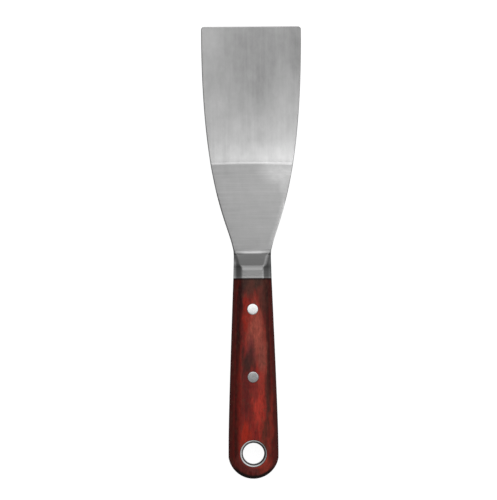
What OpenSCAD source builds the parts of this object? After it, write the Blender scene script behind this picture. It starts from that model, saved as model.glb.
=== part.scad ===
// Palette knife of the broad, square-ended kind: a flexible ground blade forged in one piece with
// its bolster and full tang, a laminated wood scale on each side of the tang, two two-part rivets
// through them, and a flared steel eyelet that lines the hanging hole.
// The knife lies on its back: +Y points along it to the working edge, X runs across it and Z
// through it. The origin is under its middle, on the surface that it lies on.

/* [Blade] */
// Width of the blade at its working edge
blade_w = 50; // [44:1:60]
// Length of the blade from its working edge to the bolster
blade_l = 113; // [100:1:130]
// Length of the hollow-ground, flexible zone behind the working edge
ground_l = 68.7; // [55:0.1:80]
// Thickness at the working edge
edge_t = 0.5; // [0.4:0.05:0.8]
// Thickness at the ridge where the hollow grinding ends
ridge_t = 1.5; // [1.2:0.1:1.7]
// Thickness where the blade meets the bolster
heel_t = 1.8; // [1.8:0.1:2.4]
// Radius of the two corners of the working edge
corner_r = 1.5; // [0.5:0.1:4]

/* [Bolster] */
// Length of the bolster, from the blade to the handle scales
bolster_l = 12.8; // [11.5:0.1:16]
// Width of the waist where the bolster meets the blade
waist_w = 18.6; // [17:0.1:19]
// Width of the bolster where it meets the scales
bolster_w = 19.2; // [19:0.1:21]
// Thickness of the bolster where it meets the scales
bolster_t = 12.2; // [11:0.1:13]
// Width of the bolster's flat face, between its two bevels
bolster_flat_w = 10.7; // [8:0.1:12]

/* [Handle] */
// Length of the handle scales
handle_l = 100.2; // [90:0.1:115]
// Greatest width of the handle
handle_w = 25; // [23:0.1:25]
// Greatest thickness of the handle, over both scales
handle_t = 14.5; // [13.5:0.1:16]
// Radius of the round butt
butt_r = 12.65; // [12.6:0.05:14]
// Width of the handle's flat face around the hanging hole
butt_flat_w = 14.4; // [14:0.1:15]
// Height of the handle's upright sides, between its bevels
side_h = 6; // [5:0.1:7]
// Thickness of the tang between the scales
tang_t = 2.5; // [2:0.1:3]

/* [Rivets] */
// Diameter of a rivet's heads
rivet_head_d = 5.5; // [5:0.1:6.5]
// Thickness of a rivet's heads
rivet_head_t = 1.2; // [1:0.1:1.5]
// Outer diameter of a rivet's hollow barrel
rivet_barrel_d = 4; // [3.6:0.1:4.2]
// Diameter of the pin that is pressed into the barrel
rivet_pin_d = 2.9; // [2.4:0.1:3]
// Distance of the first rivet from the bolster
first_rivet = 15.4; // [14:0.1:20]
// Distance between the two rivets
rivet_pitch = 34; // [28:0.1:38]

/* [Hanging eyelet] */
// Bore of the eyelet
eyelet_bore_d = 10.7; // [10:0.1:10.9]
// Outer diameter of the eyelet's tube
eyelet_tube_d = 12; // [11.8:0.1:12.2]
// Outer diameter of the eyelet's flared lips
eyelet_lip_d = 13.6; // [13.2:0.1:13.8]

/* [Hidden] */

$fn = 96;

// Places along the knife
tip_y = (blade_l + bolster_l + handle_l) / 2;
ridge_y = tip_y - ground_l;
heel_y = tip_y - blade_l;
shoulder_y = heel_y - bolster_l;
butt_y = -tip_y;
eyelet_y = butt_y + butt_r;
rivet_ys = [shoulder_y - first_rivet, shoulder_y - first_rivet - rivet_pitch];

// Half sizes, because every piece is made around the middle plane of the tang
handle_h = handle_t / 2;
bolster_h = bolster_t / 2;
heel_h = heel_t / 2;
tang_h = tang_t / 2;
side_half = side_h / 2;

// The blade's side is one swept curve. It leaves the working edge and enters the waist along
// straight lines, which these shares of the blade's length end, measured from the working edge.
full_width_share = 0.787;
waist_share = 0.891;
// Where that curve starts and ends: below the rounded corners, and just inside the bolster
corner_zone = 2;
waist_zone = 2.2;

// The handle's side is another. Its swell is steepest at one share of the handle's length, where
// it has this much of its growth behind it, and it has its full width from another share on.
swell_share = 0.5;
swell_growth = 0.7;
full_handle_share = 0.74;

// The hollow grinding: how much of the rise to the ridge is an even taper
even_taper = 0.2;
// The small bevel that breaks the blade's long edges: its width and its height
edge_bevel_w = 0.35;
edge_bevel_h = 0.12;

// The bolster's ramp: where it leaves the blade, where it reaches full thickness, and how far
// its fillet and its crown reach on either side of those two places
ramp_foot_y = heel_y - 0.2;
ramp_head_y = heel_y - 7;
ramp_fillet = 0.8;
ramp_crown = 2;
// The blade's small bevel turns into the bolster's wide one between these two places
bevel_start_y = heel_y + 0.6;
bevel_end_y = heel_y - 8;
// How much of the handle's upright side the bolster has there
bevel_end_side = 0.9;

// The scales rise from the bolster's thickness to the handle's over this length
swell_l = 12;
// Width of the handle's flat face where that rise ends
swell_flat_w = 12.3;
// How far the rounding of a scale's edges reaches on either side of each edge
side_round = 1.1;
face_round = 1.1;

// Radial clearance of the rivets and the eyelet in their holes
clearance = 0.05;
// The eyelet's lips: thickness, and how far their inner flare reaches down the bore and outwards
lip_t = 0.75;
flare_h = 1.1;
flare_w = 0.8;
// Small rounding of metal rims
rim = 0.25;
// The pin stops short of the barrel's blind end, and the barrel short of the pin's head
rivet_gap = 0.3;
barrel_gap = 0.8;

// Number of steps of the curves
curve_n = 32;
corner_n = 5;
round_n = 2;
arc_n = 24;

function mix(a, b, t) = a + (b - a) * t;
function unit(v) = v / norm(v);

// A cubic Bezier curve as a list of points
function bezier(p, n) = [
    for (i = [0:n])
        let (t = i / n, s = 1 - t)
            s * s * s * p[0] + 3 * s * s * t * p[1] + 3 * s * t * t * p[2] + t * t * t * p[3]
];

// A path whose inner corners are rounded, each over reach[i] on both sides of it
function rounded(path, reach, n) = [
    for (i = [0:len(path) - 1])
        each (i == 0 || i == len(path) - 1)
            ? [path[i]]
            : let (
                p = path[i],
                a = p + unit(path[i - 1] - p) * reach[i - 1],
                b = p + unit(path[i + 1] - p) * reach[i - 1]
            )
            [for (k = [0:n]) let (t = k / n) mix(mix(a, p, t), mix(p, b, t), t)]
];

// Half width of the blade and the bolster: one swept curve from the working edge to the waist,
// then a slow widening to the scales
blade_side = bezier([
    [tip_y - corner_zone, blade_w / 2],
    [tip_y - full_width_share * blade_l, blade_w / 2],
    [tip_y - waist_share * blade_l, waist_w / 2],
    [heel_y - waist_zone, waist_w / 2],
], curve_n);
steel_side = concat(blade_side, [[shoulder_y, bolster_w / 2]]);

function corner_inset(y) =
    let (past = y - (tip_y - corner_r))
        past <= 0 ? 0 : corner_r - sqrt(max(0, corner_r * corner_r - past * past));
function steel_w(y) = lookup(y, steel_side) - corner_inset(y);

// Half thickness of the blade and the bolster
function ground_h(y) =
    let (s = (tip_y - y) / ground_l)
        mix(edge_t, ridge_t, even_taper * s + (1 - even_taper) * pow(s, 3)) / 2;
ramp = rounded([
    [ridge_y, ridge_t / 2],
    [ramp_foot_y, heel_h],
    [ramp_head_y, bolster_h],
    [shoulder_y, bolster_h],
], [ramp_fillet, ramp_crown], 6);
function steel_h(y) = y > ridge_y ? ground_h(y) : lookup(y, ramp);

// Half width of the flat face, and half height of the side under the bevel
function steel_flat(y) = y > bevel_start_y
    ? steel_w(y) - edge_bevel_w
    : lookup(y, [
        [shoulder_y, bolster_flat_w / 2],
        [bevel_end_y, bolster_flat_w / 2],
        [bevel_start_y, steel_w(bevel_start_y) - edge_bevel_w],
    ]);
function steel_side_h(y) = y > bevel_start_y
    ? steel_h(y) - edge_bevel_h
    : lookup(y, [
        [shoulder_y, side_half],
        [bevel_end_y, side_half * bevel_end_side],
        [bevel_start_y, heel_h - edge_bevel_h],
    ]);

// Where the forging is cut into cross-sections, from the working edge to the scales
steel_ys = concat(
    [for (i = [corner_n:-1:1]) tip_y - corner_r * (1 - sin(90 * i / corner_n))],
    [for (i = [0:curve_n]) mix(tip_y - corner_r, ridge_y, i / curve_n)],
    [for (i = [1:20]) mix(ridge_y, ramp_foot_y + ramp_fillet, i / 20)],
    [for (i = [1:6]) mix(ramp_foot_y + ramp_fillet, ramp_foot_y - ramp_fillet, i / 6)],
    [for (i = [1:4]) mix(ramp_foot_y - ramp_fillet, ramp_head_y + ramp_crown, i / 4)],
    [for (i = [1:6]) mix(ramp_head_y + ramp_crown, ramp_head_y - ramp_crown, i / 6)],
    [shoulder_y]
);

// A cross-section at y: flat face, bevel, upright side and their mirror images
function steel_section(y) =
    let (
        w = steel_w(y),
        f = steel_flat(y),
        h = steel_h(y),
        e = steel_side_h(y),
        reach = min(0.3 * norm([w - f, h - e]), 0.6),
        quarter = rounded([[w, 0], [w, e], [f, h], [0, h]], [min(reach, e / 2), reach], round_n),
        half = [for (i = [1:len(quarter) - 2]) quarter[i]],
        n = len(half)
    )
    concat(
        [for (i = [0:n - 1]) [half[i].x, y, half[i].y]],
        [for (i = [n - 1:-1:0]) [-half[i].x, y, half[i].y]],
        [for (i = [0:n - 1]) [-half[i].x, y, -half[i].y]],
        [for (i = [n - 1:-1:0]) [half[i].x, y, -half[i].y]]
    );

// Half width of the handle, a slow swell from the bolster to the butt
handle_side = bezier([
    [shoulder_y, bolster_w / 2],
    [shoulder_y - swell_share * handle_l, mix(bolster_w, handle_w, swell_growth) / 2],
    [shoulder_y - full_handle_share * handle_l, handle_w / 2],
    [eyelet_y, handle_w / 2],
], curve_n);
// The round butt starts where its circle leaves the handle's side
butt_start = asin(handle_w / 2 / butt_r);
handle_outline = concat(
    handle_side,
    [for (i = [0:arc_n]) let (a = mix(butt_start, 0, i / arc_n))
        [eyelet_y - butt_r * cos(a), butt_r * sin(a)]]
);
// The same outline as points in plan: down the left side, round the butt and up the right side
handle_plan = concat(
    [for (p = handle_outline) [-p.y, p.x]],
    [for (i = [len(handle_outline) - 2:-1:0]) [handle_outline[i].y, handle_outline[i].x]]
);

swell_y = shoulder_y - swell_l;
function scale_h(y) = y < swell_y
    ? handle_h
    : mix(handle_h, bolster_h, pow((y - swell_y) / swell_l, 2));
function scale_flat(y) = lookup(y, [
    [eyelet_y, butt_flat_w / 2],
    [swell_y, swell_flat_w / 2],
    [shoulder_y, bolster_flat_w / 2],
]);
// The edge of the flat face nearest to a point of the outline
function face_edge(p) = p.y > eyelet_y
    ? [sign(p.x) * scale_flat(p.y), p.y]
    : [0, eyelet_y] + unit(p - [0, eyelet_y]) * butt_flat_w / 2;

// The profile of a scale over one point of the outline: up its side, over its bevel, on to its face
function scale_profile(p) =
    let (
        q = face_edge(p),
        h = scale_h(q.y),
        inner = 2 * q - p,
        path = rounded([
            [p.x, p.y, tang_h],
            [p.x, p.y, side_half],
            [q.x, q.y, h],
            [inner.x, inner.y, h],
        ], [side_round, face_round], 3)
    )
    [for (i = [0:len(path) - 2]) path[i]];

// A solid between rings of points. Each ring is closed on itself, and its second half mirrors its
// first, so that the two end rings can be closed with strips that run straight across them.
module between(rings) {
    n = len(rings[0]);
    last = (len(rings) - 1) * n;
    strips = [for (i = [0:floor(n / 2) - 1])
        i + 1 == n - i - 2 ? [i, i + 1, n - i - 1] : [i, i + 1, n - i - 2, n - i - 1]];
    polyhedron(
        points = [for (r = rings) each r],
        faces = concat(
            strips,
            [for (k = [0:len(rings) - 2], i = [0:n - 1]) let (a = k * n + i, b = k * n + (i + 1) % n)
                [a, a + n, b + n, b]],
            [for (s = strips) [for (i = [len(s) - 1:-1:0]) last + s[i]]]
        )
    );
}

// Everything is made around the middle plane, then raised so that it lies on the surface
module raised() {
    translate([0, 0, handle_h]) children();
}

module rivet_holes(d) {
    for (y = rivet_ys) translate([0, y, 0]) cylinder(h = handle_t, d = d, center = true);
}

module eyelet_hole(d) {
    translate([0, eyelet_y, 0]) cylinder(h = handle_t + 2, d = d, center = true);
}

// Blade, bolster and full tang, forged in one piece
module blade() {
    color("silver") raised() difference() {
        union() {
            between([for (y = steel_ys) steel_section(y)]);
            tang();
        }
        rivet_holes(rivet_barrel_d + 2 * clearance);
        eyelet_hole(eyelet_tube_d + 2 * clearance);
    }
}

// The tang reaches a little way into the bolster, so that the two are one solid
module tang() {
    root = [bolster_w / 2 - 1, shoulder_y + 1];
    translate([0, 0, -tang_h]) linear_extrude(tang_t)
        polygon(concat(handle_plan, [[root.x, shoulder_y], root, [-root.x, root.y],
            [-root.x, shoulder_y]]));
}

// One laminated wood scale, with counterbored rivet holes and a seat for the eyelet's lip
module scale_blank() {
    profiles = [for (p = handle_plan) scale_profile(p)];
    between([for (k = [0:len(profiles[0]) - 1]) [for (profile = profiles) profile[k]]]);
}

module front_scale() {
    color("firebrick") raised() difference() {
        scale_blank();
        rivet_holes(rivet_barrel_d + 2 * clearance);
        for (y = rivet_ys)
            translate([0, y, handle_h - rivet_head_t])
                cylinder(h = handle_t, d = rivet_head_d + 2 * clearance);
        eyelet_hole(eyelet_tube_d + 2 * clearance);
        translate([0, eyelet_y, handle_h - lip_t])
            cylinder(h = handle_t, d = eyelet_lip_d + 2 * clearance);
    }
}

// The back scale is the front one turned over
module back_scale() {
    translate([0, 0, handle_t]) mirror([0, 0, 1]) front_scale();
}

// A head with a slightly broken rim, its outer face at z = 0 and its underside below
module rivet_head() {
    rotate_extrude() polygon([
        [0, 0],
        [rivet_head_d / 2 - rim, 0],
        [rivet_head_d / 2, -rim / 2],
        [rivet_head_d / 2, -rivet_head_t],
        [0, -rivet_head_t],
    ]);
}

// The front half of a rivet: a head and a hollow barrel that reaches down to the other head
module rivet_barrel(y) {
    barrel_l = handle_t - 2 * rivet_head_t - barrel_gap;
    color("gainsboro") translate([0, y, handle_t]) difference() {
        union() {
            rivet_head();
            translate([0, 0, -rivet_head_t - barrel_l]) cylinder(h = barrel_l + 0.5, d = rivet_barrel_d);
        }
        translate([0, 0, -rivet_head_t - barrel_l - 1]) cylinder(h = barrel_l + 1, d = rivet_pin_d);
    }
}

// The back half of a rivet: a head and the solid pin that is pressed up into the barrel
module rivet_pin(y) {
    pin_l = handle_t - 2 * rivet_head_t - rivet_gap;
    color("gainsboro") translate([0, y, 0]) union() {
        mirror([0, 0, 1]) rivet_head();
        translate([0, 0, rivet_head_t - 0.5]) cylinder(h = pin_l + 0.5, d = rivet_pin_d);
    }
}

// A tube whose two ends are flared outwards over the scales
module hanging_eyelet() {
    bore = eyelet_bore_d / 2;
    tube = eyelet_tube_d / 2;
    lip = eyelet_lip_d / 2;
    flare = [for (i = [0:6]) let (a = 15 * i)
        [bore + flare_w * (1 - cos(a)), handle_h - flare_h * (1 - sin(a))]];
    lip_edge = [for (i = [0:3]) let (a = 30 * i)
        [lip - rim * (1 - sin(a)), handle_h - rim * (1 - cos(a))]];
    upper = concat(flare, lip_edge, [[lip, handle_h - lip_t], [tube, handle_h - lip_t]]);
    n = len(upper);
    color("lightsteelblue") raised() translate([0, eyelet_y, 0]) rotate_extrude()
        polygon(concat(upper, [for (i = [n - 1:-1:0]) [upper[i].x, -upper[i].y]]));
}

blade();
front_scale();
back_scale();
rivet_barrel(rivet_ys[0]);  // bolster_end_rivet_barrel
rivet_pin(rivet_ys[0]);  // bolster_end_rivet_pin
rivet_barrel(rivet_ys[1]);  // mid_handle_rivet_barrel
rivet_pin(rivet_ys[1]);  // mid_handle_rivet_pin
hanging_eyelet();
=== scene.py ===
import math

import bmesh
import bpy
import numpy as np
from mathutils import Matrix, Vector


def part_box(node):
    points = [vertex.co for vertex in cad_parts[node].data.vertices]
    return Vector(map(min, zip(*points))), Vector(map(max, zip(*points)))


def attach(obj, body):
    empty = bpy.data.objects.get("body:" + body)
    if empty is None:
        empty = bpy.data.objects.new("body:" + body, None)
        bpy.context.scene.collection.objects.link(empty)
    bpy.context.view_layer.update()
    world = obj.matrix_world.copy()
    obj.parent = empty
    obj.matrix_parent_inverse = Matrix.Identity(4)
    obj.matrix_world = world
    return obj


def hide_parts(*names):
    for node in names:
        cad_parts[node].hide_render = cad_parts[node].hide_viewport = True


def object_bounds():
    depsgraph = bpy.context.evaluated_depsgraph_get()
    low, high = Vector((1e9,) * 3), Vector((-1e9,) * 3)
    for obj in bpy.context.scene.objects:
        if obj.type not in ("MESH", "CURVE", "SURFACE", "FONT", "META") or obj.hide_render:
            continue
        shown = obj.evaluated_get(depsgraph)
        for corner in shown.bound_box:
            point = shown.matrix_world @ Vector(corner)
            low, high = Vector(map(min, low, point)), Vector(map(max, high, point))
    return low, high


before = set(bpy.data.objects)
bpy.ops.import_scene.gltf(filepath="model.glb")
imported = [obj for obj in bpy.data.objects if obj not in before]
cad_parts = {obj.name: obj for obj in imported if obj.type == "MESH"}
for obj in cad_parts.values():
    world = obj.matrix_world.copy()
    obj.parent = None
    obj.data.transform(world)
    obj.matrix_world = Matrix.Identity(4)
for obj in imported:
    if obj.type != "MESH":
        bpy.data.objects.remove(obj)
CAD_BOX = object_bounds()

MM = 0.001
SHARP_ANGLE = math.radians(32)

# ---------------------------------------------------------------------------
# Sizes, in millimetres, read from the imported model
# ---------------------------------------------------------------------------


def box_mm(node):
    lo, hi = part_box(node)
    return lo / MM, hi / MM


blade_lo, blade_hi = box_mm("blade")
scale_lo, scale_hi = box_mm("front_scale")
back_lo, _ = box_mm("back_scale")
eye_lo, eye_hi = box_mm("hanging_eyelet")
head_lo, head_hi = box_mm("mid_handle_rivet_barrel")

TIP_Y, BUTT_Y = blade_hi.y, blade_lo.y
EDGE_W = blade_hi.x
SHOULDER_Y = scale_hi.y
MID_Z = (back_lo.z + scale_hi.z) / 2
HANDLE_H = scale_hi.z - MID_Z
HANDLE_W = scale_hi.x
TANG_H = scale_lo.z - MID_Z
BOLSTER_H = blade_hi.z - MID_Z
EYE_Y = (eye_lo.y + eye_hi.y) / 2
LIP_R = (eye_hi.x - eye_lo.x) / 2
BUTT_R = EYE_Y - BUTT_Y
RIVET_HEAD_R = (head_hi.x - head_lo.x) / 2

# The rest of the shape, which no box shows. _W is half a width, _H a height above the
# middle plane, _FLAT half the width of a flat face between its bevels.
BLADE_L = 113.0
HEEL_Y = TIP_Y - BLADE_L
RIDGE_Y = TIP_Y - 68.7
CORNER_R = 1.5
WAIST_W = 9.3
BOLSTER_W = 9.6
BOLSTER_FLAT = 5.35
EDGE_H, RUNOUT_H, RIDGE_H, HEEL_H = 0.25, 0.64, 0.75, 0.9
RUNOUT_L = 0.9
SIDE_H = 3.0
# The bevel along the blade's edges: its width, its greatest drop and where it ends
BEVEL_W, BEVEL_H = 0.4, 0.34
BEVEL_Y = HEEL_Y + 0.6
# How much thinner the working edge is at its very end
TIP_BREAK = 0.14
# The part of a bevel's slope that is rounded off at each end
SOFTENED = 0.34
TANG_BREAK = 0.06
# The groove between the bolster and the scales: its depth and half its length
GROOVE, GROOVE_L = 0.12, 0.06

# The scales' top thins over SWELL_L down to the bolster
SWELL_FLAT, SWELL_L = 6.15, 12.0
BUTT_FLAT = 7.2
SCALE_ROUNDING = 1.1
# The angle at which the butt's arc meets the handle's side
BUTT_START = math.asin(HANDLE_W / BUTT_R)

RIVET_HEAD_T = 1.2
RIVET_BARREL_R, RIVET_PIN_R = 2.0, 1.45
HEAD_DOME, HEAD_RIM_W, HEAD_RIM_H = 0.06, 0.25, 0.2
# The front heads' tilt in degrees, and how deep the part is that it moves
HEAD_TILTS = {"bolster_end": -3.8, "mid_handle": 3.3}
HEAD_SKIN = 0.45

BORE_R, TUBE_R = 5.35, 6.0
FLARE_H, FLARE_W, LIP_RIM, LIP_T = 1.2, 1.0, 0.4, 0.75

GAP = 0.05
# How far a cutter reaches past the middle plane and past the top
THROUGH, OVER = 5.0, 2.0


def mix(a, b, t):
    return a + (b - a) * t


def bezier(points, n):
    """Points on a cubic Bezier curve."""
    t = np.linspace(0, 1, n + 1)[:, None]
    s = 1 - t
    p = [np.array(q, float) for q in points]
    return s**3 * p[0] + 3 * s * s * t * p[1] + 3 * s * t * t * p[2] + t**3 * p[3]


def rounded(path, reaches, n):
    """The path with its inner corners rounded, each over its own reach."""
    path = [np.array(p, float) for p in path]
    out = [path[0]]
    for i, reach in enumerate(reaches, start=1):
        p, before, after = path[i], path[i - 1] - path[i], path[i + 1] - path[i]
        a = p + before / np.linalg.norm(before) * reach
        b = p + after / np.linalg.norm(after) * reach
        for k in range(n + 1):
            t = k / n
            out.append(mix(mix(a, p, t), mix(p, b, t), t))
    return out + [path[-1]]


def along(curve, y):
    """Second column of a curve whose first column falls, at y."""
    return float(np.interp(-y, -curve[:, 0], curve[:, 1]))


# ---------------------------------------------------------------------------
# Meshes
# ---------------------------------------------------------------------------


def make_object(name, verts, faces):
    """A mesh object from points in millimetres around the knife's middle plane."""
    mesh = bpy.data.meshes.new(name)
    co = np.array(verts, float) + (0, 0, MID_Z)
    mesh.from_pydata([tuple(v) for v in co * MM], [], faces)
    mesh.validate()
    bm = bmesh.new()
    bm.from_mesh(mesh)
    bmesh.ops.remove_doubles(bm, verts=bm.verts, dist=1e-7)
    bmesh.ops.recalc_face_normals(bm, faces=bm.faces)
    bm.to_mesh(mesh)
    bm.free()
    obj = bpy.data.objects.new(name, mesh)
    bpy.context.scene.collection.objects.link(obj)
    return obj


def loft(name, rings):
    """A closed skin over rings of equally many points, with flat ends."""
    n = len(rings[0])
    verts = [p for ring in rings for p in ring]
    faces = []
    for k in range(len(rings) - 1):
        for i in range(n):
            j = (i + 1) % n
            faces.append((k * n + i, k * n + j, (k + 1) * n + j, (k + 1) * n + i))
    faces.append(tuple(range(n - 1, -1, -1)))
    faces.append(tuple(range((len(rings) - 1) * n, len(rings) * n)))
    return make_object(name, verts, faces)


def lathe(name, profile, centre, n=128):
    """A closed profile of (radius, height) points, turned about the Z axis through centre."""
    verts, faces, rows = [], [], []
    for r, z in profile:
        if r < 1e-6:
            rows.append([len(verts)] * n)
            verts.append((centre[0], centre[1], z))
            continue
        rows.append(list(range(len(verts), len(verts) + n)))
        for i in range(n):
            a = 2 * math.pi * i / n
            verts.append((centre[0] + r * math.cos(a), centre[1] + r * math.sin(a), z))
    m = len(rows)
    closed = all(r > 1e-6 for r, _ in profile)
    for k in range(m if closed else m - 1):
        a, b = rows[k], rows[(k + 1) % m]
        for i in range(n):
            j = (i + 1) % n
            quad = [a[i], a[j], b[j], b[i]]
            face = [v for q, v in enumerate(quad) if v not in quad[:q]]
            if len(face) > 2:
                faces.append(tuple(face))
    return make_object(name, verts, faces)


def cut(obj, holes):
    """Cuts upright round holes, each (y, radius, low z, high z), out of an object."""
    cutters = []
    for y, r, low, high in holes:
        cutters.append(lathe("cutter", [(0, low), (r, low), (r, high), (0, high)], (0, y), 144))
    for cutter in cutters:
        mod = obj.modifiers.new("hole", "BOOLEAN")
        mod.operation, mod.solver, mod.object = "DIFFERENCE", "EXACT", cutter
    bpy.context.view_layer.update()
    shaped = bpy.data.meshes.new_from_object(
        obj.evaluated_get(bpy.context.evaluated_depsgraph_get())
    )
    obj.modifiers.clear()
    obj.data = shaped
    for cutter in cutters:
        bpy.data.objects.remove(cutter)


def finish_piece(obj, material, node):
    """Shades a piece, gives it its material, and puts it in the CAD node's place."""
    obj.data.shade_smooth()
    obj.data.set_sharp_from_angle(angle=SHARP_ANGLE)
    obj.data.materials.clear()
    obj.data.materials.append(material)
    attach(obj, "root")
    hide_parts(node)


# ---------------------------------------------------------------------------
# Blade, bolster and tang
# ---------------------------------------------------------------------------

# The outline as (distance along, half width). The two inner points of each curve, in parts
# of the blade's length or in millimetres from the bolster, set how it swings.
BLADE_PULLS = (0.787, 0.891)
HANDLE_PULLS = (50.1, 74.15)
OUTLINE_POINTS = 96
blade_side = bezier(
    [
        (TIP_Y - 2, EDGE_W),
        (TIP_Y - BLADE_PULLS[0] * BLADE_L, EDGE_W),
        (TIP_Y - BLADE_PULLS[1] * BLADE_L, WAIST_W),
        (HEEL_Y - 2.2, WAIST_W),
    ],
    OUTLINE_POINTS,
)
steel_side = np.vstack([blade_side, [SHOULDER_Y, BOLSTER_W]])
handle_side = bezier(
    [
        (SHOULDER_Y, BOLSTER_W),
        (SHOULDER_Y - HANDLE_PULLS[0], mix(BOLSTER_W, HANDLE_W, 0.7)),
        (SHOULDER_Y - HANDLE_PULLS[1], HANDLE_W),
        (EYE_Y, HANDLE_W),
    ],
    OUTLINE_POINTS,
)


def steel_w(y):
    past = min(max(y - (TIP_Y - CORNER_R), 0), CORNER_R)
    return along(steel_side, y) - (CORNER_R - math.sqrt(CORNER_R**2 - past**2))


def ground_h(y):
    s = (TIP_Y - y) / (TIP_Y - RIDGE_Y)
    h = mix(EDGE_H, RUNOUT_H, mix(s, s**3, 0.85))
    runout = max(0.0, 1 - (y - RIDGE_Y) / RUNOUT_L)
    return h + (RIDGE_H - RUNOUT_H) * runout**1.6


# Behind the ridge: (distance along, half thickness), up the bolster's ramp to its flat top
ramp = np.array(
    rounded(
        [
            (RIDGE_Y, RIDGE_H),
            (HEEL_Y - 0.2, HEEL_H),
            (HEEL_Y - 7, BOLSTER_H),
            (SHOULDER_Y, BOLSTER_H),
        ],
        [0.9, 2.0],
        14,
    )
)


def steel_h(y):
    return ground_h(y) if y > RIDGE_Y else along(ramp, y)


def bevel_h(h):
    """How far the bevel comes down the side of a section of half thickness h."""
    return min(BEVEL_H, 0.75 * h)


# Half width of the flat face, and height of the side's edge: (distance along, size)
steel_flat_curve = np.array(
    [
        (BEVEL_Y, along(steel_side, BEVEL_Y) - BEVEL_W),
        (HEEL_Y - 0.6, 7.9),
        (HEEL_Y - 2, 7.3),
        (HEEL_Y - 5.5, 6.5),
        (HEEL_Y - 7.6, 5.5),
        (HEEL_Y - 9, BOLSTER_FLAT),
        (SHOULDER_Y, BOLSTER_FLAT),
    ]
)
steel_side_curve = np.array(
    [
        (BEVEL_Y, HEEL_H - bevel_h(HEEL_H)),
        (HEEL_Y - 8, SIDE_H * 0.9),
        (SHOULDER_Y, SIDE_H),
    ]
)


def with_flat(path, n=8):
    """The path with its last stretch, half of a flat face, divided evenly."""
    return [*path[:-1], *(mix(path[-2], path[-1], k / n) for k in range(1, n + 1))]


def steel_section(y, inset=0.0):
    """Points of the upper right quarter of a cross-section, from its side to its middle."""
    w, h = steel_w(y), steel_h(y)
    if y > BEVEL_Y:
        f, e = w - BEVEL_W, h - bevel_h(h)
    else:
        f, e = along(steel_flat_curve, y), along(steel_side_curve, y)
    # The working edge itself is broken a little, like the long edges
    tip = max(0.0, 1 - (TIP_Y - y) / BEVEL_W)
    h -= TIP_BREAK * tip**2
    e = min(e, h - 0.01)
    w, h, f = w - inset, h - inset, f - inset * 0.5
    slope = math.hypot(w - f, h - e)
    low, high = min(SOFTENED * slope, e * 0.5, 1.3), min(SOFTENED * slope, 1.0)
    return with_flat(rounded([(w, 0), (w, e), (f, h), (0, h)], [low, high], 5))


def tang_section(w):
    """The same for the tang, as a plain flat bar with slightly broken edges."""
    w = max(w, TANG_BREAK)
    broken = min(TANG_BREAK, w / 3)
    corner = [(w, 0), (w, TANG_H - broken), (w - broken, TANG_H), (0, TANG_H)]
    return with_flat(rounded(corner, [0.02, 0.02], 5))


def ring_at(y, quarter, bow=(0.0, 0.0)):
    """A whole cross-section from its quarter. bow moves its middle and its sides along."""
    q = [(float(p[0]), float(p[1])) for p in quarter]
    upper = q + [(-x, z) for x, z in q[-2::-1]]
    full = upper + [(x, -z) for x, z in upper[-2:0:-1]]
    widest = q[0][0]
    return [(x, y + mix(bow[0], bow[1], (x / widest) ** 2), z) for x, z in full]


def bow_at(y):
    """The grinding's ridge and the bolster's fillet aren't quite square to the knife."""
    ridge = math.exp(-(((y - RIDGE_Y) / 3.0) ** 2))
    fillet = math.exp(-(((y - HEEL_Y) / 1.6) ** 2))
    return 0.25 * ridge + 0.1 * fillet, -0.2 * ridge + 0.75 * fillet


# Cross-sections stand close together where the shape changes quickly
steel_ys = np.concatenate(
    [
        TIP_Y - CORNER_R * (1 - np.cos(np.linspace(0, math.pi / 2, 10)))[:-1],
        np.linspace(TIP_Y - CORNER_R, RIDGE_Y + 2, 110),
        np.linspace(RIDGE_Y + 2, RIDGE_Y + 1, 6)[1:],
        np.linspace(RIDGE_Y + 1, RIDGE_Y, 16)[1:],
        np.linspace(RIDGE_Y, HEEL_Y + 2, 90)[1:],
        np.linspace(HEEL_Y + 2, HEEL_Y - 1.4, 36)[1:],
        np.linspace(HEEL_Y - 1.4, HEEL_Y - 4.8, 14)[1:],
        np.linspace(HEEL_Y - 4.8, HEEL_Y - 9.2, 28)[1:],
        np.linspace(HEEL_Y - 9.2, SHOULDER_Y + 0.2, 10)[1:],
    ]
)
rings = [ring_at(y, steel_section(y), bow_at(y)) for y in steel_ys]
for y, inset in ((SHOULDER_Y + GROOVE_L, GROOVE * 0.3), (SHOULDER_Y, GROOVE)):
    rings.append(ring_at(y, steel_section(y, inset)))
for y in np.linspace(SHOULDER_Y, EYE_Y, 60):
    rings.append(ring_at(y, tang_section(along(handle_side, y))))
for a in np.linspace(BUTT_START, 0, 48):
    y = EYE_Y - BUTT_R * math.cos(a)
    rings.append(ring_at(y, tang_section(BUTT_R * math.sin(a))))

rivet_ys = {}
for end in HEAD_TILTS:
    lo, hi = box_mm(end + "_rivet_barrel")
    rivet_ys[end] = (lo.y + hi.y) / 2

blade = loft("blade_with_tang", rings)
cut(
    blade,
    [(y, RIVET_BARREL_R + GAP, -THROUGH, THROUGH) for y in rivet_ys.values()]
    + [(EYE_Y, TUBE_R + GAP, -THROUGH, THROUGH)],
)

# ---------------------------------------------------------------------------
# Scales
# ---------------------------------------------------------------------------


def scale_h(y):
    t = min(max((y - (SHOULDER_Y - SWELL_L)) / SWELL_L, 0), 1)
    return mix(HANDLE_H, BOLSTER_H, t * t)


scale_flat_curve = np.array(
    [
        (SHOULDER_Y, BOLSTER_FLAT),
        (SHOULDER_Y - SWELL_L, SWELL_FLAT),
        (EYE_Y, BUTT_FLAT),
    ]
)


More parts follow.
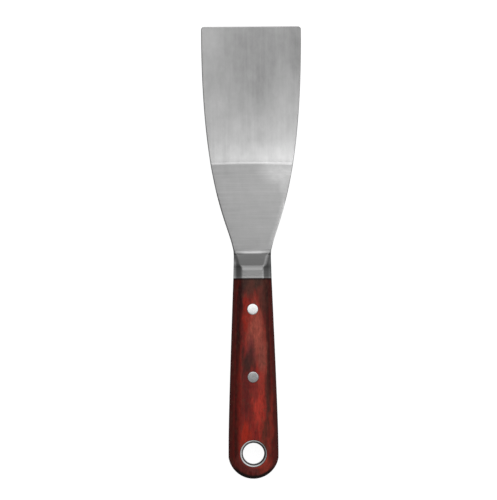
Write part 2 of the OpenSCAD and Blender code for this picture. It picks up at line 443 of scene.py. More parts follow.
def scale_profile(x, y, inset):
    """From the tang up the side, over the bevel and on to the flat face, above (x, y)."""
    p = np.array([x, y])
    centre = np.array([0.0, EYE_Y])
    if y > EYE_Y:
        q = np.array([math.copysign(along(scale_flat_curve, y), x), y])
    else:
        q = centre + (p - centre) / np.linalg.norm(p - centre) * BUTT_FLAT
    h = scale_h(q[1]) - inset
    p = p - inset * (p - q) / np.linalg.norm(p - q)
    inner = 2 * q - p
    path = rounded(
        [
            (p[0], p[1], TANG_H),
            (p[0], p[1], SIDE_H),
            (q[0], q[1], h),
            (inner[0], inner[1], h),
        ],
        [SCALE_ROUNDING, SCALE_ROUNDING],
        8,
    )
    return path[:-1]


def scale_outline():
    """(x, y, inset) down the left side, round the butt and up the right side."""
    left = [(-along(handle_side, SHOULDER_Y), SHOULDER_Y, GROOVE)]
    ys = np.concatenate(
        [
            [SHOULDER_Y - GROOVE_L],
            np.linspace(SHOULDER_Y - 0.15, SHOULDER_Y - SWELL_L - 2, 36),
            np.linspace(SHOULDER_Y - SWELL_L - 2, EYE_Y, 100)[1:],
        ]
    )
    left += [(-along(handle_side, y), y, GROOVE * 0.3 if k == 0 else 0) for k, y in enumerate(ys)]
    for a in np.linspace(BUTT_START, 0, 56):
        left.append((-BUTT_R * math.sin(a), EYE_Y - BUTT_R * math.cos(a), 0))
    return left + [(-x, y, i) for x, y, i in left[-2::-1]]


def make_scale(name):
    """The blank of one scale: its skin over the outline, closed below and on top by strips."""
    outline = scale_outline()
    profiles = [scale_profile(*p) for p in outline]
    n, m = len(profiles), len(profiles[0])
    verts = [p for profile in profiles for p in profile]
    faces = []
    for i in range(n):
        j = (i + 1) % n
        for k in range(m - 1):
            faces.append((i * m + k, j * m + k, j * m + k + 1, i * m + k + 1))
    for k in (0, m - 1):
        for i in range(n // 2):
            j = n - 1 - i
            strip = [i, i + 1, j - 1, j]
            strip = [v for q, v in enumerate(strip) if v not in strip[:q]]
            if len(strip) > 2:
                faces.append(tuple(v * m + k for v in strip))
    return make_object(name, verts, faces)


front_scale = make_scale("scale_front")
above = HANDLE_H + OVER
cut(
    front_scale,
    [(y, RIVET_BARREL_R + GAP, 0, above) for y in rivet_ys.values()]
    + [(y, RIVET_HEAD_R + GAP, HANDLE_H - RIVET_HEAD_T, above) for y in rivet_ys.values()]
    + [(EYE_Y, TUBE_R + GAP, 0, above), (EYE_Y, LIP_R + GAP, HANDLE_H - LIP_T, above)],
)
back_scale = bpy.data.objects.new("scale_back", front_scale.data.copy())
bpy.context.scene.collection.objects.link(back_scale)
back_scale.data.transform(
    Matrix.Translation((0, 0, 2 * MID_Z * MM)) @ Matrix.Diagonal((1, 1, -1, 1))
)
back_scale.data.flip_normals()

# ---------------------------------------------------------------------------
# Rivets and eyelet
# ---------------------------------------------------------------------------


def head_profile(top):
    """A head with a low dome and a rolled rim, from its middle out and down to its underside."""
    crown = [(RIVET_HEAD_R * t, top - HEAD_DOME * t * t) for t in np.linspace(0, 0.9, 10)]
    rim = [
        (
            RIVET_HEAD_R - HEAD_RIM_W * (1 - math.sin(a)),
            top - HEAD_DOME - HEAD_RIM_H * (1 - math.cos(a)),
        )
        for a in np.linspace(math.radians(12), math.pi / 2, 8)
    ]
    return crown + rim + [(RIVET_HEAD_R, top - RIVET_HEAD_T)]


def tilt_head(obj, y, top, degrees):
    """Heads are ground flush by hand, each a little out of true."""
    slope = math.tan(math.radians(degrees))
    for v in obj.data.vertices:
        if abs(v.co.z / MM - MID_Z - top) < HEAD_SKIN:
            v.co.z += slope * (v.co.y - y * MM)


# Each half's shank stops just short of the other's head
under_head = HANDLE_H - RIVET_HEAD_T
barrel_end = -under_head + 0.8
pin_end = under_head - 0.3
head = head_profile(HANDLE_H)
rivets = {}
for end, y in rivet_ys.items():
    barrel = lathe(
        end + "_barrel",
        head
        + [
            (RIVET_BARREL_R, under_head),
            (RIVET_BARREL_R, barrel_end),
            (RIVET_PIN_R, barrel_end),
            (RIVET_PIN_R, under_head),
            (0, under_head),
        ],
        (0, y),
    )
    tilt_head(barrel, y, HANDLE_H, HEAD_TILTS[end])
    pin_shank = [(RIVET_PIN_R - GAP, -under_head), (RIVET_PIN_R - GAP, pin_end), (0, pin_end)]
    rivets[end + "_rivet_barrel"] = barrel
    rivets[end + "_rivet_pin"] = lathe(
        end + "_pin", [(r, -z) for r, z in head] + pin_shank, (0, y)
    )

flare = [
    (BORE_R + FLARE_W * (1 - math.cos(a)), HANDLE_H - FLARE_H * (1 - math.sin(a)))
    for a in np.linspace(0, math.pi / 2, 14)
]
lip_edge = [
    (LIP_R - LIP_RIM * (1 - math.sin(a)), HANDLE_H - LIP_RIM * (1 - math.cos(a)))
    for a in np.linspace(0, math.pi / 2, 8)
]
upper = flare + lip_edge + [(LIP_R, HANDLE_H - LIP_T), (TUBE_R, HANDLE_H - LIP_T)]
eyelet = lathe("eyelet", upper + [(r, -z) for r, z in upper[::-1]], (0, EYE_Y), 160)

# ---------------------------------------------------------------------------
# Materials
# ---------------------------------------------------------------------------


def srgb(r, g, b):
    """An sRGB colour from 0 to 255 as linear RGBA."""
    c = np.array([r, g, b]) / 255
    lin = np.where(c <= 0.04045, c / 12.92, ((c + 0.055) / 1.055) ** 2.4)
    return (*(float(v) for v in lin), 1.0)


class Nodes:
    """Short names for building a node tree. Values are sockets or plain numbers."""

    def __init__(self, tree):
        self.tree = tree

    def add(self, kind, **props):
        n = self.tree.nodes.new(kind)
        for key, value in props.items():
            setattr(n, key, value)
        return n

    def link(self, value, socket):
        if isinstance(value, bpy.types.NodeSocket):
            self.tree.links.new(value, socket)
        else:
            socket.default_value = value

    def math(self, op, *values):
        n = self.add("ShaderNodeMath", operation=op)
        for value, socket in zip(values, n.inputs):
            self.link(value, socket)
        return n.outputs[0]

    def times(self, a, b):
        return self.math("MULTIPLY", a, b)

    def total(self, *values):
        out = values[0]
        for value in values[1:]:
            out = self.math("ADD", out, value)
        return out

    def split(self, vector):
        """The x, y and z of a vector."""
        n = self.add("ShaderNodeSeparateXYZ")
        self.link(vector, n.inputs[0])
        return tuple(n.outputs)


class Graph(Nodes):
    """The nodes of one material, with object coordinates in millimetres as x, y and z."""

    def __init__(self, name):
        self.material = bpy.data.materials.new(name)
        self.material.use_nodes = True
        super().__init__(self.material.node_tree)
        self.shader = self.tree.nodes["Principled BSDF"]
        scaled = self.add("ShaderNodeVectorMath", operation="SCALE")
        self.link(self.add("ShaderNodeTexCoord").outputs["Object"], scaled.inputs[0])
        scaled.inputs["Scale"].default_value = 1 / MM
        self.x, self.y, self.z = self.split(scaled.outputs[0])

    def vector(self, x, y, z):
        n = self.add("ShaderNodeCombineXYZ")
        for value, socket in zip((x, y, z), n.inputs):
            self.link(value, socket)
        return n.outputs[0]

    def noise(self, sizes, detail=3.0, rough=0.5, at=None, shift=0.0):
        """Noise from about 0 to 1, whose lumps are as many millimetres long as sizes says."""
        at = at or (self.x, self.y, self.z)
        spot = self.vector(
            *(self.math("MULTIPLY_ADD", v, 1 / s, shift) for v, s in zip(at, sizes))
        )
        n = self.add("ShaderNodeTexNoise", noise_dimensions="3D")
        self.link(spot, n.inputs["Vector"])
        n.inputs["Scale"].default_value = 1.0
        n.inputs["Detail"].default_value = detail
        n.inputs["Roughness"].default_value = rough
        return n.outputs["Fac"]

    def remap(self, value, a, b, c, d, smooth=False):
        """Takes a to b on to c to d, and stays at c or d outside them."""
        n = self.add("ShaderNodeMapRange")
        if smooth:
            n.interpolation_type = "SMOOTHSTEP"
        for v, socket in zip((value, a, b, c, d), n.inputs):
            self.link(v, socket)
        return n.outputs[0]

    def swing(self, value, size):
        """A noise's whole range as an even change of plus or minus size."""
        return self.remap(value, 0.25, 0.75, -size, size)

    def near(self, value, centre, inner, outer, smooth=False):
        """1 within inner of the centre, falling to 0 at outer."""
        away = self.math("ABSOLUTE", self.math("SUBTRACT", value, centre))
        return self.remap(away, inner, outer, 1.0, 0.0, smooth)

    def ramp(self, value, stops):
        n = self.add("ShaderNodeValToRGB")
        elements = n.color_ramp.elements
        while len(elements) > 1:
            elements.remove(elements[-1])
        elements[0].position, elements[0].color = stops[0]
        for position, color in stops[1:]:
            elements.new(position).color = color
        self.link(value, n.inputs[0])
        return n.outputs[0]

    def blend(self, fac, a, b, mode="MIX"):
        n = self.add("ShaderNodeMix", data_type="RGBA", blend_type=mode)
        self.link(fac, n.inputs[0])
        for value, socket in ((a, n.inputs[6]), (b, n.inputs[7])):
            self.link(value, socket)
        return n.outputs[2]

    def shade(self, colour, factor):
        """The colour made lighter or darker by a factor."""
        return self.blend(1.0, colour, self.grey(factor), "MULTIPLY")

    def profile(self, value, points):
        """A number that follows (value, number) points, in straight lines between them."""
        low, high = points[0][0], points[-1][0]
        n = self.add("ShaderNodeFloatCurve")
        curve = n.mapping.curves[0]
        n.mapping.use_clip = True
        shown = [((v - low) / (high - low), float(number)) for v, number in points]
        top = max(number for _, number in shown)
        curve.points[0].location = (shown[0][0], shown[0][1] / top)
        curve.points[1].location = (shown[-1][0], shown[-1][1] / top)
        for v, number in shown[1:-1]:
            curve.points.new(v, number / top)
        for point in curve.points:
            point.handle_type = "VECTOR"
        n.mapping.update()
        self.link(self.remap(value, low, high, 0.0, 1.0), n.inputs["Value"])
        return self.math("MULTIPLY", n.outputs[0], top)

    def grey(self, value):
        n = self.add("ShaderNodeCombineColor")
        for socket in n.inputs:
            self.link(value, socket)
        return n.outputs[0]

    def bump(self, height, distance, strength):
        """distance is in millimetres."""
        n = self.add("ShaderNodeBump")
        n.inputs["Strength"].default_value = strength
        n.inputs["Distance"].default_value = distance * MM
        self.link(height, n.inputs["Height"])
        return n.outputs[0]

    def set(self, **values):
        """Sets the shader's inputs, written with _ for each space."""
        for key, value in values.items():
            self.link(value, self.shader.inputs[key.replace("_", " ")])

    def distance(self, dx, dy):
        squares = (self.math("POWER", d, 2) for d in (dx, dy))
        return self.math("SQRT", self.total(*squares))

    def spot(self, cx, cy, rx, ry, at=None):
        """1 in the middle of an oval patch, falling to 0 at its edge."""
        x, y = at or (self.x, self.y)
        dx = self.math("DIVIDE", self.math("SUBTRACT", x, cx), rx)
        dy = self.math("DIVIDE", self.math("SUBTRACT", y, cy), ry)
        return self.remap(self.distance(dx, dy), 0.25, 1.0, 1.0, 0.0, smooth=True)


# How bright the steel is painted along the knife: (distance along the knife, brightness). Partly
# the finish, mostly painted reflection: the hollow grind's light rising to the ridge, the bolster's
# dark ramp and the painted highlight on its fillet
PAINTED_STEEL_REFLECTIONS = [
    (BUTT_Y, 0.42),
    (SHOULDER_Y, 0.50),
    (SHOULDER_Y + 0.6, 0.50),
    (SHOULDER_Y + 0.9, 0.335),
    (HEEL_Y - 9.3, 0.335),
    (HEEL_Y - 8.3, 0.285),
    (HEEL_Y - 6.8, 0.195),
    (HEEL_Y - 5.5, 0.35),
    (HEEL_Y - 0.7, 0.37),
    (HEEL_Y - 0.1, 0.45),
    (HEEL_Y + 0.6, 0.49),
    (HEEL_Y + 1.3, 0.41),
    (RIDGE_Y - 14, 0.452),
    (RIDGE_Y - 0.1, 0.442),
    (RIDGE_Y + 0.1, 0.60),
    (RIDGE_Y + 0.9, 0.622),
    (RIDGE_Y + 1.2, 0.668),
    (RIDGE_Y + 3, 0.715),
    (RIDGE_Y + 7, 0.645),
    (RIDGE_Y + 12, 0.55),
    (RIDGE_Y + 19.5, 0.512),
    (RIDGE_Y + 29.5, 0.468),
    (RIDGE_Y + 39.5, 0.432),
    (RIDGE_Y + 49.5, 0.40),
    (TIP_Y - 0.7, 0.388),
    (TIP_Y - 0.3, 0.325),
    (TIP_Y, 0.325),
]
# Darker and lighter places in front of the ridge: across, along, half width, half length, change
STEEL_PATCHES = [
    (-1, 93, 20, 36, -0.17),
    (4, 76, 5, 26, -0.05),
    (22, 101, 5, 16, -0.1),
    (-20, 83, 3, 7, -0.07),
    (14, 54, 5, 16, 0.05),
    (-22, 66, 7, 14, 0.06),
]
# Two light lines where the sanding behind the ridge was stopped and started again
SANDED_LINES = (RIDGE_Y - 11.7, RIDGE_Y - 14.0)


def front_marks(g, hairs, clouds, painted_side_shade):
    """Changes of brightness in front of the ridge: lengthwise grinding marks, lighter and darker
    places, and painted shade from side to side.
    """
    streaks = g.noise((2.2, 55, 9), detail=4, rough=0.6)
    return g.total(
        g.swing(streaks, 0.055),
        g.swing(hairs, 0.045),
        g.swing(clouds, 0.1),
        # Painted shade from side to side: lighter on the +X side by the ridge, darker there by the
        # tip
        g.times(painted_side_shade, g.remap(g.y, RIDGE_Y, TIP_Y - 8, 0.17, -0.14)),
        *(g.times(g.spot(*place), change) for *place, change in STEEL_PATCHES),
    )


def behind_marks(g, bands, lines, clouds, painted_side_shade, y):
    """Changes behind the ridge: crosswise marks, painted shade from side to side, an uneven
    painted highlight along the +X edge and its bevel, painted highlights on a crumpled place
    beside the ridge, and painted shade on the -X bevel."""
    dents = g.noise((3.2, 1.8, 9), detail=3, rough=0.6, shift=4.9)
    grooves = g.noise((30, 0.45, 9), detail=3, rough=0.6, shift=8.8)
    side = g.profile(g.y, [(y, w) for y, w in blade_side[::-8]])
    from_edge = g.math("SUBTRACT", side, g.x)
    # Painted highlight along the +X edge, made uneven by the dents noise
    painted_edge_highlight = g.times(
        g.remap(from_edge, 2.6, 0.7, 0.0, 1.0, smooth=True), g.near(g.y, 16, 9, 17)
    )
    # Painted highlight on the +X bevel
    painted_bevel_highlight = g.times(g.remap(from_edge, 0.6, 0.4, 0.0, 1.0), g.near(g.y, 15, 8, 12))
    # Painted shade on the -X bevel
    painted_bevel_shade = g.times(
        g.remap(g.math("ADD", side, g.x), 0.8, 0.5, 0.0, 1.0), g.remap(g.y, 32, 26, 0.0, 1.0)
    )
    return g.total(
        g.swing(bands, 0.06),
        g.swing(lines, 0.05),
        g.swing(grooves, 0.05),
        g.swing(clouds, 0.05),
        # Painted shade from side to side: lighter on the +X side
        g.times(painted_side_shade, 0.08),
        # Painted highlights on a crumpled place beside the ridge
        g.times(g.spot(17, 41, 17, 10), g.remap(dents, 0.3, 0.7, 0.28, 0.5)),
        g.times(g.spot(16, 32.5, 3.5, 5), 0.18),
        g.times(painted_edge_highlight, g.remap(dents, 0.3, 0.7, 0.08, 0.36)),
        g.times(painted_bevel_highlight, 0.8),
        g.times(painted_bevel_shade, -0.35),
        *(g.times(g.near(y, at, 0.2, 0.7), 0.035) for at in SANDED_LINES),
    )


def bolster_marks(g, bands, lines):
    """Changes on the bolster and the tang. The ramp's edges have a painted highlight, the
    outermost strips are painted lighter, the side facets have painted shade, and the tang's edge
    is sanded with the scales."""
    ramp_edge = g.profile(g.y, [(y, w) for y, w in steel_flat_curve[::-1]])
    # Painted highlight along the ramp's creases
    painted_crease_highlight = g.times(
        g.near(g.x, ramp_edge, 0.4, 1.1, smooth=True), g.near(g.y, HEEL_Y - 4, 2.2, 3.2)
    )
    # Painted highlight on the outermost strips, stronger on the -X side
    strip = g.total(
        g.remap(g.x, -BOLSTER_W + 1.8, -BOLSTER_W + 1.0, 0.0, 1.0),
        g.remap(g.x, BOLSTER_W - 1.7, BOLSTER_W - 1.2, 0.0, 0.25),
    )
    strip = g.times(strip, g.remap(g.y, HEEL_Y - 2.5, HEEL_Y - 5, 0.0, 1.0))
    past_ramp = g.math("SUBTRACT", g.math("ABSOLUTE", g.x), ramp_edge)
    on_tang = g.remap(g.y, SHOULDER_Y + 0.1, SHOULDER_Y - 0.1, 0.0, 1.0)
    # Painted shade on the side facets
    painted_facet_shade = g.times(g.remap(past_ramp, -0.1, 0.3, 0.0, 1.0), g.math("SUBTRACT", 1.0, on_tang))
    sanded = g.noise((9, 30, 0.11), detail=3, rough=0.6, shift=2.3)
    return g.total(
        g.swing(bands, 0.03),
        g.swing(lines, 0.025),
        g.times(painted_crease_highlight, 0.5),
        g.times(strip, 1.25),
        g.times(painted_facet_shade, g.remap(g.x, 4.0, 6.0, -0.3, -0.47)),
        g.times(on_tang, g.swing(sanded, 0.16)),
    )


def steel_material():
    g = Graph("ground_steel")
    # The masks follow the bowed ridge
    across = g.math("POWER", g.math("DIVIDE", g.x, EDGE_W), 2)
    near_ridge = g.remap(g.y, RIDGE_Y - 6, RIDGE_Y, 0.0, 1.0)
    y = g.math("MULTIPLY_ADD", g.math("MULTIPLY_ADD", across, 0.6, -0.25), near_ridge, g.y)
    in_front = g.remap(y, RIDGE_Y - 0.1, RIDGE_Y + 0.1, 0.0, 1.0)
    behind_ridge = g.math("SUBTRACT", 1.0, in_front)
    on_bolster = g.remap(g.y, HEEL_Y + 0.2, HEEL_Y - 0.8, 0.0, 1.0)

    hairs = g.noise((0.22, 26, 9), detail=3, rough=0.65, shift=3.1)
    clouds = g.noise((4.5, 8, 9), detail=5, rough=0.65, shift=7.7)
    bands = g.noise((22, 1.5, 9), detail=4, rough=0.65, shift=1.7)
    lines = g.noise((18, 0.16, 9), detail=3, rough=0.6, shift=5.3)
    # How far towards +X, for the painted shade from side to side
    painted_side_shade = g.math("DIVIDE", g.x, EDGE_W)
    # The fillet's painted highlight fades towards the sides
    painted_fillet_fade = g.times(
        g.remap(g.math("ABSOLUTE", g.x), 3.5, 8.5, 0.0, 1.0), g.near(g.y, HEEL_Y + 0.2, 0.9, 1.6)
    )
    marks = g.total(
        1.0,
        g.times(front_marks(g, hairs, clouds, painted_side_shade), in_front),
        g.times(
            g.math("SUBTRACT", behind_ridge, on_bolster),
            behind_marks(g, bands, lines, clouds, painted_side_shade, y),
        ),
        g.times(on_bolster, bolster_marks(g, bands, lines)),
        g.times(painted_fillet_fade, -0.45),
    )
    rough = g.total(
        g.times(g.remap(hairs, 0.2, 0.8, 0.30, 0.42), in_front),
        g.times(g.remap(lines, 0.2, 0.8, 0.30, 0.40), behind_ridge),
        g.times(on_bolster, -0.05),
    )
    height = g.total(g.times(hairs, in_front), g.times(lines, behind_ridge))
    # The base colour carries the painted reflections along the knife, multiplied by the marks
    g.set(
        Base_Color=g.shade(g.grey(g.profile(y, PAINTED_STEEL_REFLECTIONS)), marks),
        Roughness=rough,
        Metallic=1.0,
        Normal=g.bump(height, 0.006, 0.6),
    )
    return g.material


# Veneers from the tang outwards: (height above the knife's middle, colour)
VENEERS = [
    (TANG_H, (48, 16, 16)),
    (2.0, (104, 24, 18)),
    (2.7, (62, 22, 20)),
    (3.5, (84, 26, 21)),
    (4.7, (100, 26, 20)),
    (5.4, (74, 22, 18)),
    (6.3, (82, 34, 26)),
]
# The uppermost veneer's streaks: (place in the noise, colour)
TOP_VENEER = [
    (0.1, (112, 28, 26)),
    (0.4, (146, 38, 30)),
    (0.65, (166, 48, 36)),
    (0.9, (174, 68, 52)),
]
# Patches on the front where the sanding went through one veneer into another:
# across, along, half width, half length, strength, colour
WOOD_PATCHES = [
    (-4.2, -31, 3.2, 12, 0.95, (155, 35, 21)),
    (1.4, -40, 6.2, 20, 0.95, (175, 84, 69)),
    (4.4, -55, 3.4, 17, 0.9, (152, 76, 64)),
    (-1.5, -49, 4.4, 9, 0.8, (112, 46, 47)),
    (-2.9, -55.5, 5.2, 10.5, 1.0, (68, 35, 31)),
    (-3.8, -72, 5.2, 20, 0.9, (98, 30, 28)),
    (2.7, -76, 4.4, 17, 0.95, (188, 58, 44)),
    (-4.0, -92.5, 4.6, 8, 0.95, (170, 40, 20)),
    (0.0, -12.0, 8.0, 15, 1.0, (74, 44, 35)),
    (-1.2, -17.5, 3.4, 8, 0.9, (96, 50, 40)),
    (-5.6, -22.5, 2.0, 10, 0.9, (58, 26, 23)),
    (-6.6, -24, 2.0, 24, 0.9, (66, 14, 12)),
    (5.4, -24, 3.2, 17, 0.8, (92, 50, 40)),
    (-5.8, -41, 2.0, 13, 0.6, (84, 28, 24)),
    (-7.0, -43, 1.6, 14, 0.7, (52, 20, 18)),
    (5.6, -91, 2.4, 12, 0.85, (92, 42, 30)),
    (7.1, -74, 1.7, 20, 0.75, (80, 42, 34)),
    (1.0, -68.5, 2.6, 8, 0.55, (94, 38, 37)),
    (5.3, -41, 1.9, 6, 0.45, (112, 62, 50)),
    (6.8, -28, 1.7, 16, 0.5, (60, 26, 22)),
    (-4.2, -16.3, 2.2, 7.5, 0.75, (52, 26, 23)),
    (-6.3, -21.5, 1.5, 8, 0.75, (46, 19, 18)),
    (7.2, -17.0, 2.0, 9, 0.6, (50, 22, 20)),
    (-7.0, -76, 2.2, 36, 0.85, (122, 32, 24)),
    (8.8, -87, 1.8, 22, 0.85, (140, 46, 34)),
    (5.5, -105.5, 5.0, 7, 0.85, (158, 56, 42)),
    (-5.0, -107, 7.0, 5, 0.7, (118, 48, 42)),
    (0.0, -108.5, 6.0, 3.2, 0.7, (128, 56, 52)),
]
# The back scale is cut from another part of the board, this far along
BACK_CUT = 231.0


def veneer_stops():
    """The veneers as stops of a colour ramp, with a narrow blend between neighbours."""
    places = [(start - TANG_H) / (HANDLE_H - TANG_H) for start, _ in VENEERS]
    stops = []
    for k, (_, colour) in enumerate(VENEERS):
        stops.append((max(0.0, places[k] + 0.02), srgb(*colour)))
        if k + 1 < len(VENEERS):
            stops.append((places[k + 1] - 0.02, srgb(*colour)))
    return stops


def from_eye(g):
    """How far a point is along from the hanging hole's middle, and how far in all."""
    out = g.math("SUBTRACT", g.y, EYE_Y)
    return out, g.distance(g.x, out)


def wood_material():
    g = Graph("laminated_wood")
    front = g.math("GREATER_THAN", g.z, MID_Z)
    y = g.math("MULTIPLY_ADD", g.math("SUBTRACT", 1.0, front), BACK_CUT, g.y)
    depth = g.math("ABSOLUTE", g.math("SUBTRACT", g.z, MID_Z))
    here = (g.x, y, depth)
    waves = g.noise((9, 46, 60), detail=2, at=here)
    ripples = g.noise((2.6, 14, 60), detail=3, at=here, shift=4.4)
    level = g.total(depth, g.swing(waves, 0.22), g.swing(ripples, 0.14))
    stack = g.ramp(g.remap(level, TANG_H, HANDLE_H, 0.0, 1.0), veneer_stops())

    # The uppermost veneer has long streaks
    figure = g.noise((2.2, 30, 40), detail=3, rough=0.6, at=here, shift=2.2)
    fine = g.noise((0.7, 14, 40), detail=3, rough=0.6, at=here, shift=8.1)
    figure = g.total(
        g.math("MULTIPLY_ADD", figure, 1.4, -0.2), g.remap(fine, 0.3, 0.7, -0.12, 0.12)
    )
    top = g.ramp(figure, [(place, srgb(*colour)) for place, colour in TOP_VENEER])
    colour = g.blend(g.remap(level, 6.78, 7.0, 0.0, 1.0), stack, top)

    warp_x = g.swing(g.noise((3, 9, 40), at=here, shift=6.1), 1.3)
    warp_y = g.swing(g.noise((2, 12, 40), at=here, shift=9.4), 5)
    warped = (g.math("ADD", g.x, warp_x), g.math("ADD", g.y, warp_y))
    for *place, strength, tint in WOOD_PATCHES:
        mask = g.times(front, g.times(g.spot(*place, warped), strength))
        colour = g.blend(mask, colour, srgb(*tint))

    # Mottling and flecks, then fibres and pores along the handle
    mottle = g.noise((1.1, 3.2, 3), detail=4, rough=0.6, at=here, shift=3.7)
    colour = g.shade(colour, g.remap(mottle, 0.3, 0.7, 0.79, 1.21))
    flecks = g.noise((1.3, 2.6, 3), detail=3, rough=0.6, at=here, shift=12.9)
    colour = g.blend(g.remap(flecks, 0.52, 0.72, 0.0, 0.45), colour, srgb(92, 62, 46))
    fibres = g.noise((0.2, 8, 0.3), detail=4, rough=0.65, at=here, shift=1.3)
    colour = g.shade(colour, g.remap(fibres, 0.25, 0.75, 0.72, 1.18))
    pores = g.noise((0.11, 1.9, 0.12), detail=2, rough=0.5, at=here, shift=6.6)
    pits = g.remap(pores, 0.6, 0.68, 0.0, 1.0)
    colour = g.blend(g.times(pits, 0.6), colour, srgb(40, 14, 14))

    # Painted shade darkens the butt's upper edge, and the wood is darker at its joint with the
    # bolster
    out, radius = from_eye(g)
    rim = g.times(
        g.remap(radius, BUTT_R - 2.0, BUTT_R - 1.1, 0.0, 1.0, smooth=True),
        g.remap(out, -5.0, -9.0, 0.0, 1.0, smooth=True),
    )
    rim = g.times(rim, g.remap(depth, 1.6, 2.8, 0.45, 0.95))
    joint = g.remap(g.y, SHOULDER_Y - 1.3, SHOULDER_Y - 0.4, 0.0, 0.7, smooth=True)
    colour = g.blend(g.math("MAXIMUM", rim, joint), colour, srgb(14, 7, 7))
    height = g.math("SUBTRACT", g.times(fibres, 0.25), pits)
    g.set(
        Base_Color=colour,
        Roughness=g.total(g.remap(fibres, 0.25, 0.75, 0.36, 0.46), g.times(pits, 0.2)),
        Normal=g.bump(height, 0.03, 0.5),
        Specular_IOR_Level=0.14,
    )
    return g.material


def bright_steel(name, rough, scratch):
    """Polished steel with a slightly uneven shine, and its faint scratches for the colour."""
    g = Graph(name)
    lines = g.noise((scratch, scratch * 12, scratch * 12), detail=3, rough=0.6, shift=2.7)
    clouds = g.noise((1.6, 1.6, 1.6), detail=3, shift=5.9)
    marks = g.total(g.remap(lines, 0.25, 0.75, 0.94, 1.05), g.remap(clouds, 0.3, 0.7, -0.05, 0.05))
    g.set(
        Roughness=g.remap(clouds, 0.3, 0.7, rough * 0.8, rough * 1.3),
        Metallic=1.0,
        Normal=g.bump(lines, 0.004, 0.5),
    )
    return g, marks


def rivet_material():
    """The middle rivet is painted darker, most of all on the side towards the butt, as painted
    shade.
    """
    g, marks = bright_steel("rivet_steel", 0.24, 0.12)
    y = rivet_ys["mid_handle"]
    # Painted shade on the middle rivet, darkest on its side towards the butt
    shine = g.profile(
        g.y, [(y - 2.2, 0.4), (y + 2.2, 0.6), (rivet_ys["bolster_end"] - 4, 0.68)]
    )
    g.set(Base_Color=g.grey(g.times(marks, shine)))
    return g.material


# The direction from which the eyelet is painted lighter, as painted light, anticlockwise from +X
PAINTED_LIGHT_SIDE = math.radians(210)
# How bright the eyelet is painted: (distance from its middle, brightness). The flare is painted
# dark, as painted shade inside the hole.
EYELET_PAINTED_SHADE = [
    (BORE_R, 0.95),
    (BORE_R + 0.12, 0.35),
    (TUBE_R, 0.35),
    (TUBE_R + 0.35, 1.0),
    (LIP_R, 1.0),
]


def eyelet_material():
    g, marks = bright_steel("eyelet_steel", 0.2, 0.2)
    out, radius = from_eye(g)
    # Painted light: the eyelet is lighter towards that side and darker away from it
    towards = g.total(
        g.times(g.x, math.cos(PAINTED_LIGHT_SIDE)), g.times(out, math.sin(PAINTED_LIGHT_SIDE))
    )
    painted_eyelet_light = g.math("MULTIPLY_ADD", g.math("DIVIDE", towards, radius), 0.3, 0.56)
    # Painted shade on the flare
    marks = g.times(marks, g.profile(radius, EYELET_PAINTED_SHADE))
    g.set(Base_Color=g.grey(g.times(marks, painted_eyelet_light)))
    return g.material


steel = steel_material()
wood = wood_material()
rivet_steel = rivet_material()
eyelet_steel = eyelet_material()

finish_piece(blade, steel, "blade")
finish_piece(front_scale, wood, "front_scale")
finish_piece(back_scale, wood, "back_scale")
for node, piece in rivets.items():
    finish_piece(piece, rivet_steel, node)
finish_piece(eyelet, eyelet_steel, "hanging_eyelet")

# ---------------------------------------------------------------------------
# Floor, light and camera
# ---------------------------------------------------------------------------

# The floor glows by itself, much more for the camera than for the knife, so that it looks
# white and still shows a faint shadow
FLOOR = 15.0
FLOOR_GAP = 0.0002
FLOOR_GLOW, FLOOR_GLOW_SEEN = 0.12, 0.81
floor_mesh = bpy.data.meshes.new("floor")
floor_mesh.from_pydata(
    [(-FLOOR, -FLOOR, 0), (FLOOR, -FLOOR, 0), (FLOOR, FLOOR, 0), (-FLOOR, FLOOR, 0)],
    [],
    [(0, 1, 2, 3)],
)
floor = bpy.data.objects.new("floor", floor_mesh)
floor.location.z = CAD_BOX[0].z - FLOOR_GAP
bpy.context.scene.collection.objects.link(floor)
paper = Graph("floor_paper")
cloudy = paper.remap(paper.noise((40, 40, 40)), 0.3, 0.7, 0.98, 1.02)
seen = paper.add("ShaderNodeLightPath").outputs["Is Camera Ray"]
paper.set(
    Base_Color=paper.shade((0.3, 0.3, 0.3, 1.0), cloudy),
    Roughness=0.9,
    Emission_Color=(1, 1, 1, 1),
    Specular_IOR_Level=0.1,
    Emission_Strength=paper.math("MULTIPLY_ADD", seen, FLOOR_GLOW_SEEN, FLOOR_GLOW),
)
floor.data.materials.append(paper.material)


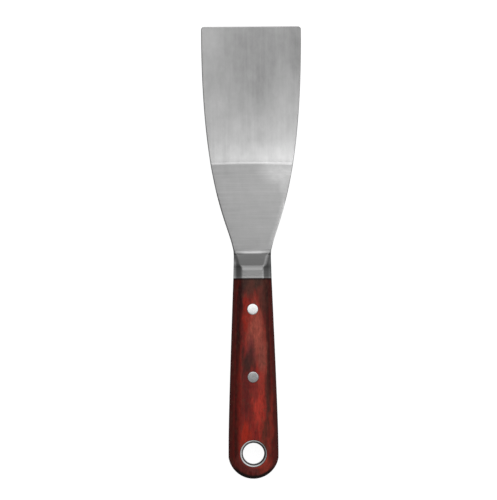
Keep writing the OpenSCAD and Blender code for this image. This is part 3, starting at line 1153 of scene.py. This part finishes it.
def softbox(name, tilt, azimuth, distance, width, height, radiance):
    """A soft rectangular lamp. tilt is from straight up; azimuth 0 is towards +Y, 90 towards +X."""
    t, a = math.radians(tilt), math.radians(azimuth)
    direction = Vector((math.sin(t) * math.sin(a), math.sin(t) * math.cos(a), math.cos(t)))
    data = bpy.data.lights.new(name, "AREA")
    data.shape, data.size, data.size_y = "RECTANGLE", width, height
    data.energy = radiance * math.pi * width * height
    lamp = bpy.data.objects.new(name, data)
    lamp.location = direction * distance
    lamp.rotation_euler = direction.to_track_quat("Z", "Y").to_euler()
    lamp.visible_camera = False
    bpy.context.scene.collection.objects.link(lamp)


softbox("key", tilt=27, azimuth=4, distance=2.5, width=2.3, height=2.1, radiance=1.12)
softbox("right_fill", tilt=42, azimuth=97, distance=2.5, width=1.2, height=1.1, radiance=0.9)

# A dim room, lighter to the right and at the knife's two ends, under a pale ceiling
world = bpy.data.worlds.new("studio")
bpy.context.scene.world = world
world.use_nodes = True
sky = Nodes(world.node_tree)
east, north, up = sky.split(sky.add("ShaderNodeTexCoord").outputs["Generated"])
ends = sky.math("ABSOLUTE", north)
walls = sky.total(0.32, sky.times(east, 0.15), sky.times(ends, 0.1))
ceiling = sky.math("POWER", sky.math("MAXIMUM", up, 0.0), 1.6)
room = sky.total(walls, sky.times(ceiling, sky.math("SUBTRACT", 0.5, walls)))
# What the camera sees past the floor is nearly white
seen = sky.add("ShaderNodeLightPath").outputs["Is Camera Ray"]
backdrop = sky.total(room, sky.times(seen, sky.math("SUBTRACT", 0.95, room)))
background = sky.tree.nodes["Background"]
sky.link(backdrop, background.inputs["Strength"])
background.inputs["Color"].default_value = (1, 1, 1, 1)

# The knife fills most of a 497 by 500 picture, a little right of and below its middle
FRAME_H = 250.0
CAMERA_AT = Vector((-1.9, 1.33)) * MM
CAMERA_UP = 4.0
ROLL = 0.35
SENSOR = 36.0
camera_data = bpy.data.cameras.new("camera")
camera_data.sensor_width = SENSOR
camera_data.lens = SENSOR * (CAMERA_UP - MID_Z * MM) / (FRAME_H * MM)
camera_data.clip_end = 60
camera = bpy.data.objects.new("camera", camera_data)
camera.location = (CAMERA_AT.x, CAMERA_AT.y, CAMERA_UP)
camera.rotation_euler = (0, 0, math.radians(-ROLL))
bpy.context.scene.collection.objects.link(camera)
bpy.context.scene.camera = camera
bpy.context.scene.view_settings.view_transform = "Standard"
